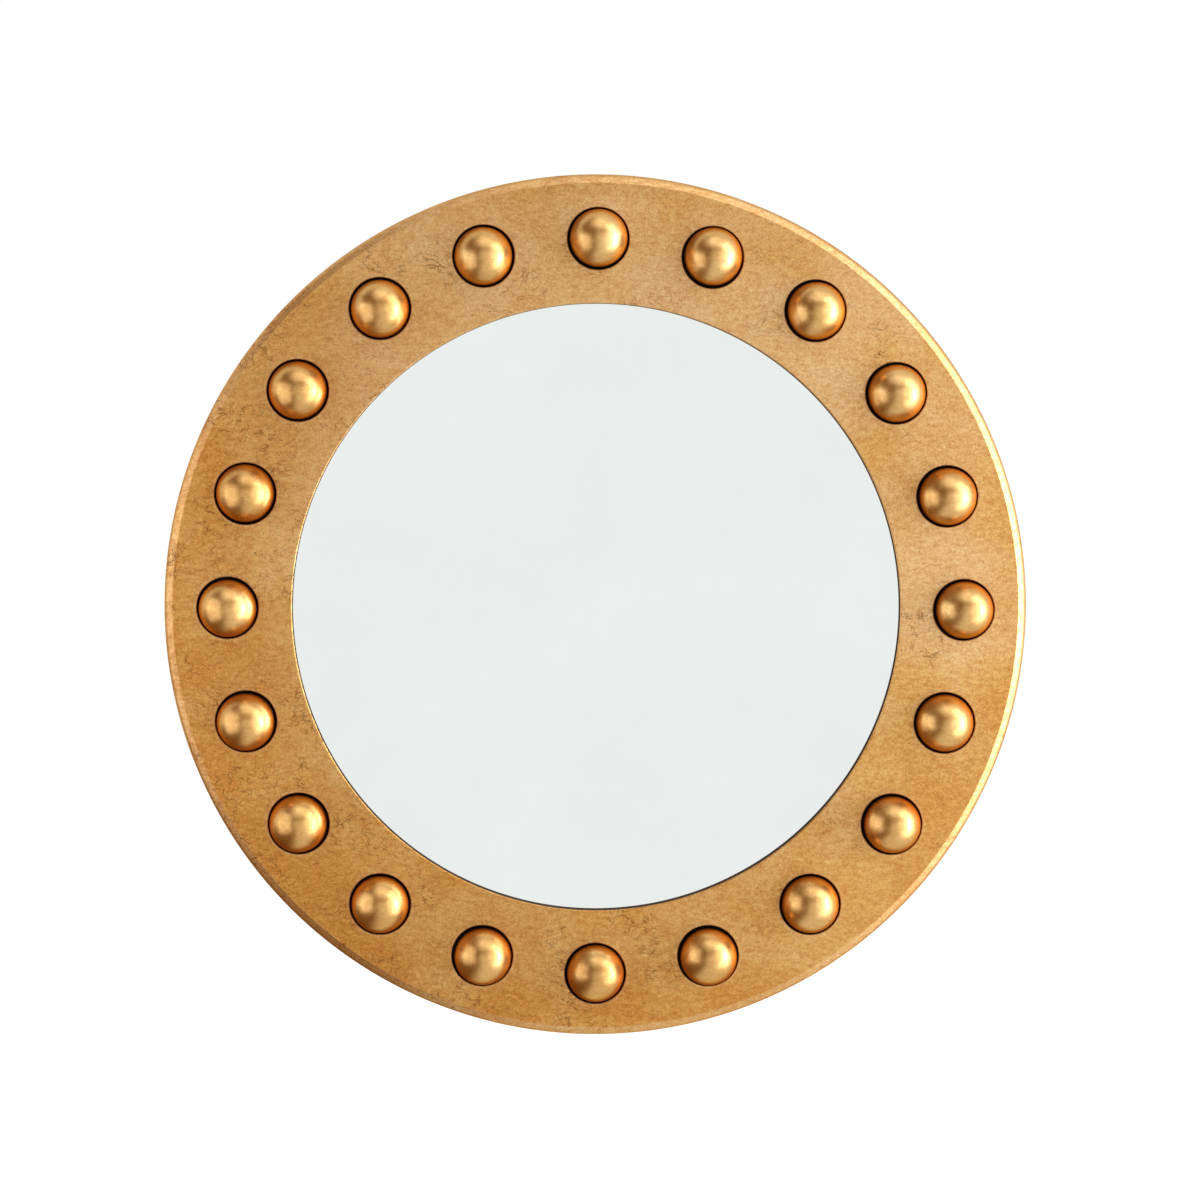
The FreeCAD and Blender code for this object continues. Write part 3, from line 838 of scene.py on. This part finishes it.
@dataclass
class GildedBalls:
    """The turned balls, each flat where it sits and set by hand a little off its bore's middle."""

    count: int = 20
    radius_mm: float = 30.2
    circle_mm: float = 389.6
    off_centre_mm: float = 0.8
    segments: int = 96
    seed: int = 7

    def build(self) -> list[bpy.types.Object]:
        """Model and dress every ball."""
        leaf = BALL_LEAF.make()
        hand = random.Random(self.seed)
        return [self._ball(number, hand, leaf) for number in range(self.count)]

    def _ball(self, number: int, hand: random.Random, leaf: Material) -> bpy.types.Object:
        """Model one ball.

        Args:
            number: its place from the top, clockwise seen from the room.
            hand: the source of the hand-set offsets.
            leaf: its finish.

        Returns:
            The ball.
        """
        node = f"ball_{number + 1:02d}"
        front, seat = (corner.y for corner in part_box(node))
        radius = self.radius_mm * MM
        centre = around(self.circle_mm * MM, number * 360 / self.count)
        centre += around(hand.uniform(0.2, 1) * self.off_centre_mm * MM, hand.uniform(0, 360))
        centre.y = front + radius
        mesh = bmesh.new()
        place = Matrix.Translation(centre) @ Matrix.Rotation(RIGHT_ANGLE, 4, "X")
        sides = self.segments
        bmesh.ops.create_uvsphere(
            mesh, u_segments=sides, v_segments=sides // 2, radius=radius, matrix=place
        )
        cut_off(mesh, WALLWARDS * seat, WALLWARDS)
        return finish_piece(mesh, f"gilded_{node}", [leaf], [node])


@dataclass
class LookingGlass:
    """The flat round glass with its two ground arrises."""

    radius_mm: float = 330.5
    arris_mm: float = 0.6
    segments: int = 360

    def build(self) -> bpy.types.Object:
        """Model and dress the glass."""
        front, back = (corner.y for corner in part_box("mirror_glass"))
        radius, arris = self.radius_mm * MM, self.arris_mm * MM
        mesh = bmesh.new()
        inner = radius - arris
        outline(mesh, ((inner, front), (radius, front + arris), (radius, back - arris), (inner, back)))
        turn(mesh, all_of(mesh), math.tau, self.segments)
        bmesh.ops.holes_fill(mesh, edges=mesh.edges[:], sides=self.segments)
        for face in mesh.faces:
            face.material_index = int(len(face.verts) < self.segments)
        finishes = (SILVERING.make(), GROUND_EDGE.make())
        return finish_piece(mesh, "looking_glass", finishes, ["mirror_glass"], even=True)


class Head(Enum):
    """A screw head's form."""

    COUNTERSUNK = "countersunk"
    PAN = "pan"


@dataclass(frozen=True)
class CrossScrew:
    """A steel wood screw with a cross recess."""

    head: Head
    head_mm: float
    shank_mm: float
    length_mm: float
    point_mm: float
    rise_mm: float = 0.0
    rim_round_mm: float = 0.0
    reach: float = 0.62
    blade: float = 0.17
    depth_mm: float = 1.4
    taper: float = 0.55
    segments: int = 32

    def build(self) -> Shape:
        """Model the screw at the origin, seated at Y = 0 with its head towards the wall."""
        head, shank, length = self.head_mm * MM, self.shank_mm * MM, self.length_mm * MM
        shoulder = self.point_mm * MM - length
        crown = self.rise_mm * MM
        neck = shank - head if self.head is Head.COUNTERSUNK else 0.0
        mesh = bmesh.new()
        corners = [(head, crown), (head, 0), (shank, neck), (shank, shoulder), (0, -length)]
        if self.head is Head.COUNTERSUNK:
            corners.pop(0)
        points = outline(mesh, corners)
        if self.rim_round_mm:
            inner = mesh.verts.new((0, crown, head * self.reach * 1.1))
            mesh.edges.new((inner, points[0]))
            ease(mesh, points[0], self.rim_round_mm * MM, 4)
        turn(mesh, all_of(mesh), math.tau, self.segments)
        bmesh.ops.remove_doubles(mesh, verts=mesh.verts[:], dist=MERGE)
        rim = [edge for edge in mesh.edges if edge.is_boundary]
        reach, blade = head * self.reach, head * self.blade
        quarter = [(blade, blade), (reach, blade), (reach, -blade), (blade, -blade)]
        arm = [mesh.verts.new((across, crown, up)) for across, up in quarter]
        turn(mesh, arm + chain(mesh, arm), 3 * RIGHT_ANGLE, 3, copies=True)
        loose = [vert for vert in mesh.verts if not vert.link_faces]
        bmesh.ops.remove_doubles(mesh, verts=loose, dist=MERGE)
        cross = [edge for edge in mesh.edges if edge.is_wire]
        walls = bmesh.ops.extrude_edge_only(mesh, edges=cross)["geom"]
        floor = only(Vert, walls)
        bmesh.ops.scale(mesh, vec=Vector((self.taper, 1, self.taper)), verts=floor)
        bmesh.ops.translate(mesh, vec=WALLWARDS * -self.depth_mm * MM, verts=floor)
        ends = [edge for edge in only(Edge, walls) if edge.is_boundary]
        bmesh.ops.contextual_create(mesh, geom=ends)
        fill(mesh, rim + cross)
        return mesh


@dataclass
class Screws:
    """Every screw that shows at the back."""

    ball_screw: CrossScrew = CrossScrew(Head.COUNTERSUNK, 4.0, 2.0, 30.0, 4.0)
    ring_screw: CrossScrew = CrossScrew(Head.COUNTERSUNK, 3.5, 1.75, 25.0, 3.5)
    count: int = 20
    ball_circle_mm: float = 389.6
    outer_circle_mm: float = 438.2
    inner_circle_mm: float = 346.0
    strap_rises_mm: Pair = (8.5, 33.5)
    pan_rise_mm: float = 2.2
    sunk_mm: float = 0.1
    seed: int = 3

    def in_sector(self) -> list[tuple[CrossScrew, float, float]]:
        """Return the screws of one sector with the radius of their circle and their angle."""
        midway = 180 / self.count
        return [
            (self.ball_screw, self.ball_circle_mm * MM, 0.0),
            (self.ring_screw, self.outer_circle_mm * MM, midway),
            (self.ring_screw, self.inner_circle_mm * MM, midway),
        ]

    def build(self) -> list[bpy.types.Object]:
        """Model and dress the screws, each turned as it happened to stop."""
        hand = random.Random(self.seed)
        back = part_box("backing_ring")[1].y - self.sunk_mm * MM
        steel = PHOSPHATE.make()
        pieces = []
        sector = self.in_sector()
        for node, rows in (("ball_screws", sector[:1]), ("ring_screws", sector[1:])):
            mesh = bmesh.new()
            for screw, radius, first in rows:
                places = (
                    around(radius, first + 360 / self.count * step) + WALLWARDS * back
                    for step in range(self.count)
                )
                self._set_screws(mesh, screw, places, hand)
            pieces.append(finish_piece(mesh, f"cross_{node}", [steel], [node]))
        mesh = bmesh.new()
        places = []
        for side in ("left", "right"):
            low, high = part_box(f"hanger_strap_{side}")
            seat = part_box("hanger_screws")[1].y - self.pan_rise_mm * MM
            middle = (low.x + high.x) / 2
            places += [Vector((middle, seat, low.z + rise * MM)) for rise in self.strap_rises_mm]
        pan = CrossScrew(Head.PAN, 3.75, 2.0, 16.0, 3.5, self.pan_rise_mm, 1.4, 0.55, depth_mm=1.6)
        self._set_screws(mesh, pan, places, hand)
        finish = [ZINC.make()]
        pieces.append(finish_piece(mesh, "pan_hanger_screws", finish, ["hanger_screws"]))
        return pieces

    def _set_screws(
        self, mesh: Shape, screw: CrossScrew, places: Iterable[Vector], hand: random.Random
    ) -> None:
        """Put copies of a screw in their places.

        Args:
            mesh: the bmesh that gets them.
            screw: the screw.
            places: where each one's seat is.
            hand: the source of each one's turn.
        """
        pattern = screw.build()
        for place in places:
            turned = Matrix.Rotation(hand.uniform(0, math.tau / 4), 4, "Y")
            join_in(mesh, pattern, Matrix.Translation(place) @ turned)
        pattern.free()


@dataclass
class BackingRing(PiercedRing):
    """The black ring behind, with broken arrises and a countersunk hole for each screw."""

    inner_mm: float = 312.0
    arris_mm: float = 1.5
    play_mm: float = 0.12
    hole_segments: int = 24

    def build(self, screws: Screws) -> bpy.types.Object:
        """Model and dress the ring around its screws."""
        low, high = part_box("backing_ring")
        inner, outer, arris = self.inner_mm * MM, high.x, self.arris_mm * MM
        start = -90 / self.sectors
        mesh = bmesh.new()
        rims = []
        for screw, radius, degrees in screws.in_sector():
            head = (screw.head_mm + self.play_mm) * MM
            shank = (screw.shank_mm + self.play_mm) * MM
            wall = ((shank, high.y - head + shank), (head, high.y))
            floor, rim = self.hole(mesh, around(radius, degrees), wall, self.hole_segments)
            bmesh.ops.contextual_create(mesh, geom=floor)
            rims.append(rim)
        self.plate(mesh, start, (inner + arris, outer - arris), high.y, rims)
        outside = ((outer - arris, high.y), (outer, high.y - arris), (outer, low.y))
        inside = ((inner, low.y), (inner, high.y - arris), (inner + arris, high.y))
        self.band(mesh, start, outside + inside, {})
        self.close(mesh)
        paint = [BOARD_PAINT.make()]
        return finish_piece(mesh, "black_backing_ring", paint, ["backing_ring"], even=True)


@dataclass
class Hangers:
    """The two straps folded over the bars of the wire rings that swing in them."""

    curl_mm: float = 3.08
    fold_degrees: float = 225.0
    fold_steps: int = 30
    bore_mm: float = 1.88
    sheet_mm: float = 2.4
    corner_mm: float = 4.0
    corner_cuts: int = 6
    wire_mm: float = 1.8
    wire_segments: int = 24
    bar_mm: float = 9.0
    shoulder_mm: float = 5.0
    drop_mm: float = 10.0
    bow_mm: float = 14.0
    lean_degrees: float = 3.789

    def build(self) -> list[bpy.types.Object]:
        """Model and dress both hangers."""
        zinc, wire = ZINC.make(), ZINC_WIRE.make()
        pieces = []
        for side in ("left", "right"):
            node = f"hanger_strap_{side}"
            low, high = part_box(node)
            curl = self.curl_mm * MM
            bar = Vector(((low.x + high.x) / 2, low.y + curl, high.z - curl))
            strap = self._strap(high.x - low.x, bar.z - low.z)
            bmesh.ops.translate(strap, vec=bar, verts=strap.verts[:])
            pieces.append(finish_piece(strap, f"folded_{node}", [zinc], [node]))
            node = f"hanger_ring_{side}"
            ring = self._ring()
            bmesh.ops.translate(ring, vec=bar, verts=ring.verts[:])
            pieces.append(finish_piece(ring, f"wire_{node}", [wire], [node], f"{side}_ring"))
        return pieces

    def _strap(self, width: float, length: float) -> Shape:
        """Model a strap about its bar.

        Args:
            width: along the bar.
            length: from the bar down to the strap's end.

        Returns:
            The strap.
        """
        curl, half = self.curl_mm * MM, width / 2
        inside = self.sheet_mm * MM - curl
        mesh = bmesh.new()
        front = mesh.verts.new((-half, -curl, 0))
        fold = math.radians(self.fold_degrees)
        (end,) = only(Vert, turn(mesh, [front], -fold, self.fold_steps, axis=ACROSS))
        corners = ((inside, end.co.z + inside - end.co.y), (inside, -length), (-curl, -length))
        path = [end] + [mesh.verts.new((-half, across, up)) for across, up in corners] + [front]
        chain(mesh, path)
        across_bar = Matrix.Translation((-half, 0, 0)) @ Matrix.Rotation(RIGHT_ANGLE, 4, "Y")
        bmesh.ops.create_circle(mesh, segments=32, radius=self.bore_mm * MM, matrix=across_bar)
        side = fill(mesh, mesh.edges, ACROSS)
        pulled = bmesh.ops.extrude_face_region(mesh, geom=side)["geom"]
        bmesh.ops.translate(mesh, vec=ACROSS * width, verts=only(Vert, pulled))
        corner = self.corner_mm * MM
        for hand in (-1, 1):
            centre = Vector((hand * (half - corner), 0, corner - length))
            for number in range(self.corner_cuts):
                angle = RIGHT_ANGLE * (number + 0.5) / self.corner_cuts
                outward = Vector((hand * math.sin(angle), 0, -math.cos(angle)))
                cut_off(mesh, centre + outward * corner, outward)
        return mesh

    def _ring(self) -> Shape:
        """Sweep a wire ring's right half about its bar, mirror it and lean it to the wall."""
        sizes = (self.bar_mm, self.shoulder_mm, self.drop_mm, self.bow_mm)
        bar, shoulder, drop, bow = (size * MM for size in sizes)
        mesh = bmesh.new()
        upright = Matrix.Rotation(RIGHT_ANGLE, 4, "Y")
        bmesh.ops.create_circle(
            mesh, segments=self.wire_segments, radius=self.wire_mm * MM, matrix=upright
        )
        end = self._run(mesh, mesh.edges[:], ACROSS * bar)
        end = turn(mesh, end, RIGHT_ANGLE, self.wire_segments // 2, centre=Vector((bar, 0, -shoulder)))
        end = self._run(mesh, end, Vector((0, 0, shoulder - drop)))
        bow_centre = Vector((bar + shoulder - bow, 0, -drop))
        turn(mesh, end, RIGHT_ANGLE, self.wire_segments, centre=bow_centre)
        bmesh.ops.mirror(mesh, geom=all_of(mesh), axis="X", merge_dist=MERGE)
        lean = Matrix.Rotation(math.radians(self.lean_degrees), 3, "X")
        bmesh.ops.rotate(mesh, cent=ORIGIN, matrix=lean, verts=mesh.verts[:])
        return mesh

    def _run(self, mesh: Shape, end: list, way: Vector) -> list:
        """Draw a straight run of wire from the last section, and return its new end."""
        drawn = bmesh.ops.extrude_edge_only(mesh, edges=only(Edge, end))["geom"]
        moved = only(Vert, drawn)
        bmesh.ops.translate(mesh, vec=way, verts=moved)
        return moved + only(Edge, drawn)


@dataclass
class Bumpers:
    """The four rubber bumpers that keep the hangers off the wall."""

    radius_mm: float = 11.0
    round_mm: float = 2.5
    segments: int = 64

    def build(self) -> list[bpy.types.Object]:
        """Model and dress every bumper."""
        rubber = RUBBER.make()
        return [
            self._bumper(f"bumper_{end}_{side}", rubber)
            for end in ("upper", "lower")
            for side in ("left", "right")
        ]

    def _bumper(self, node: str, rubber: Material) -> bpy.types.Object:
        """Turn one bumper, rounded where it meets the wall."""
        low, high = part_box(node)
        radius = self.radius_mm * MM
        mesh = bmesh.new()
        points = outline(mesh, ((0, low.y), (radius, low.y), (radius, high.y), (0, high.y)))
        ease(mesh, points[2], self.round_mm * MM, 6)
        turn(mesh, all_of(mesh), math.tau, self.segments)
        middle = Vector(((low.x + high.x) / 2, 0, (low.z + high.z) / 2))
        bmesh.ops.translate(mesh, vec=middle, verts=mesh.verts[:])
        return finish_piece(mesh, f"rubber_{node}", [rubber], [node])


@dataclass(frozen=True)
class KeptPieces:
    """The CAD pieces that keep their shape and get their finish."""

    def dress(self) -> None:
        """Put each finish on its node."""
        for node, finish in (("glass_board", FIBRE), ("felt_tape", WOOL_FELT)):
            material = finish.make()
            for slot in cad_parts[node].material_slots:
                slot.material = material
            LOG.info("%s: %s", node, finish.name)


@dataclass(frozen=True)
class Lamp:
    """One soft rectangular lamp that points at the mirror's middle."""

    name: str
    azimuth: float
    elevation: float
    distance: float
    size: Pair
    watts: float
    colour: str = "#eef4ff"

    def build(self) -> None:
        """Hang the lamp; azimuth 0 is the room in front, 90 is to the right."""
        data = bpy.data.lights.new(self.name, "AREA")
        data.shape = "RECTANGLE"
        data.size, data.size_y = self.size
        data.energy = self.watts
        data.color = linear(self.colour)[:3]
        lamp = show(self.name, data)
        side, up = math.radians(self.azimuth), math.radians(self.elevation)
        away = Vector((math.cos(up) * math.sin(side), -math.cos(up) * math.cos(side), math.sin(up)))
        lamp.location = away * self.distance
        lamp.rotation_euler = away.to_track_quat("Z", "Y").to_euler()
        lamp.visible_camera = False


@dataclass(frozen=True)
class DimZone:
    """A darker part of the pale room, seen only in reflections.

    Each bound names an axis of the direction with the zone's middle and half width along it.
    """

    bounds: tuple[tuple[str, float, float], ...]
    shade: str
    # It is full within this share of its half width.
    full: float = 0.8


@dataclass(frozen=True)
class Studio:
    """The camera, the pale surroundings, the lamps and the floor."""

    camera_place: Triple = (-0.0647, -3.0142, 0.1931)
    camera_degrees: Triple = (86.464, -0.255, -1.295)
    lens: float = 84.47
    sensor: float = 36.0
    ambient: float = 0.6
    mirrored_white: float = 0.95
    floor_below: float = 1.6
    floor_size: float = 12.0
    floor_lift: float = 0.6
    lamps: tuple[Lamp, ...] = (
        Lamp("window_right", 72, 0, 3.2, (1.7, 3.6), 74),
        Lamp("window_core", 69, 0, 3.0, (0.4, 1.3), 27),
        Lamp("panel_right", 38, 5, 3.5, (1.4, 2.2), 12),
        Lamp("ceiling_right", 58, 38, 3.5, (2.0, 1.4), 24),
        Lamp("low_right", 58, -30, 2.6, (1.6, 1.0), 11),
        Lamp("top", 0, 62, 3.2, (3.0, 1.8), 14),
        Lamp("window_left", -60, -2, 1.25, (1.1, 1.35), 6.4),
    )
    dim_zones: tuple[DimZone, ...] = (
        # A wooden lintel across the room and its dim left side.
        DimZone((("Z", 0.43, 0.15), ("X", 0.15, 0.55)), "#b0925f"),
        DimZone((("X", -0.55, 0.4), ("Y", -0.7, 0.75)), "#8a6230"),
    )
    # Where the floor's dim part starts and is full: on the left, before the camera, behind the wall.
    dim_floor_bounds: tuple[tuple[str, float, float], ...] = (
        ("X", -0.25, -0.9),
        ("Y", -8.0, -6.0),
        ("Y", 3.0, 1.0),
    )
    dim_floor: str = "#8a6230"

    def build(self) -> None:
        """Set up everything around the object."""
        scene = bpy.context.scene
        scene.view_settings.view_transform = "Standard"
        data = bpy.data.cameras.new("camera")
        data.lens, data.sensor_width = self.lens, self.sensor
        camera = show("camera", data)
        camera.location = self.camera_place
        camera.rotation_euler = Euler([math.radians(angle) for angle in self.camera_degrees])
        scene.camera = camera
        for lamp in self.lamps:
            lamp.build()
        self._world()
        self._floor()

    def _world(self) -> None:
        """Make a pale room: white to the camera, with its dim zones in reflections."""
        world = bpy.data.worlds.new("pale_room")
        bpy.context.scene.world = world
        world.use_nodes = True
        tree = world.node_tree
        tree.nodes.clear()
        place = add_node(tree, "TexCoord")["Generated"]
        axes = add_node(tree, "SeparateXYZ", (place,))
        glossy = (*(self.mirrored_white,) * 3, 1.0)
        for zone in self.dim_zones:
            inside = 1.0
            for axis, middle, half in zone.bounds:
                off = add_node(tree, "Math", (axes[axis], middle), operation="SUBTRACT")[0]
                off = add_node(tree, "Math", (off,), operation="ABSOLUTE")[0]
                inputs = (off, half, half * zone.full)
                near = add_node(tree, "MapRange", inputs, interpolation_type="SMOOTHSTEP")[0]
                inside = add_node(tree, "Math", (inside, near), operation="MULTIPLY")[0]
            inputs = {0: inside, 6: glossy, 7: linear(zone.shade)}
            glossy = add_node(tree, "Mix", inputs, data_type="RGBA", blend_type="MULTIPLY")[2]
        rays = add_node(tree, "LightPath")
        light = (*(self.ambient,) * 3, 1.0)
        for kind, seen in (("Glossy", glossy), ("Camera", WHITE), ("Transmission", WHITE)):
            inputs = {0: rays[f"Is {kind} Ray"], 6: light, 7: seen}
            light = add_node(tree, "Mix", inputs, data_type="RGBA")[2]
        sky = add_node(tree, "Background", {"Color": light, "Strength": 1.0})
        add_node(tree, "OutputWorld", (sky[0],))

    def _floor(self) -> None:
        """Lay the pale floor well below the mirror, white to the camera but for its shadows."""
        mesh = bmesh.new()
        below = Matrix.Translation((0, 0, -self.floor_below))
        bmesh.ops.create_grid(mesh, x_segments=1, y_segments=1, size=self.floor_size, matrix=below)
        data = bpy.data.meshes.new("floor")
        mesh.to_mesh(data)
        mesh.free()
        floor = show("floor", data)
        material, tree, place = start_material("pale_floor")
        mottle = add_node(tree, "TexNoise", {"Vector": place, "Scale": 3.0})[0]
        colour = add_node(tree, "ValToRGB", (mottle,), ((0.3, "#f0efed"), (0.7, "#f4f3f1")))[0]
        rays = add_node(tree, "LightPath")
        lift = add_node(tree, "Math", (rays["Is Camera Ray"], self.floor_lift), operation="MULTIPLY")[0]
        shader = {
            "Base Color": colour,
            "Roughness": 0.8,
            "Emission Color": WHITE,
            "Emission Strength": lift,
        }
        lit = add_node(tree, "BsdfPrincipled", shader)[0]
        apart = add_node(tree, "SeparateXYZ", (place,))
        dim = 1.0
        for axis, start, full in self.dim_floor_bounds:
            reach = add_node(tree, "MapRange", (apart[axis], start, full))[0]
            dim = add_node(tree, "Math", (dim, reach), operation="MULTIPLY")[0]
        seen = add_node(tree, "Mix", {0: dim, 6: WHITE, 7: linear(self.dim_floor)}, data_type="RGBA")[2]
        mirrored = add_node(tree, "Emission", (seen, self.mirrored_white))[0]
        mixed = add_node(tree, "MixShader", (rays["Is Glossy Ray"], lit, mirrored))[0]
        add_node(tree, "OutputMaterial", (mixed,))
        data.materials.append(material)


def main() -> None:
    logging.basicConfig(level=logging.INFO, format="%(message)s")
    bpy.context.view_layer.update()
    Studio().build()
    screws = Screws()
    GildedRing().build()
    GildedBalls().build()
    LookingGlass().build()
    BackingRing().build(screws)
    screws.build()
    Hangers().build()
    Bumpers().build()
    KeptPieces().dress()


if __name__ == "__main__":
    main()
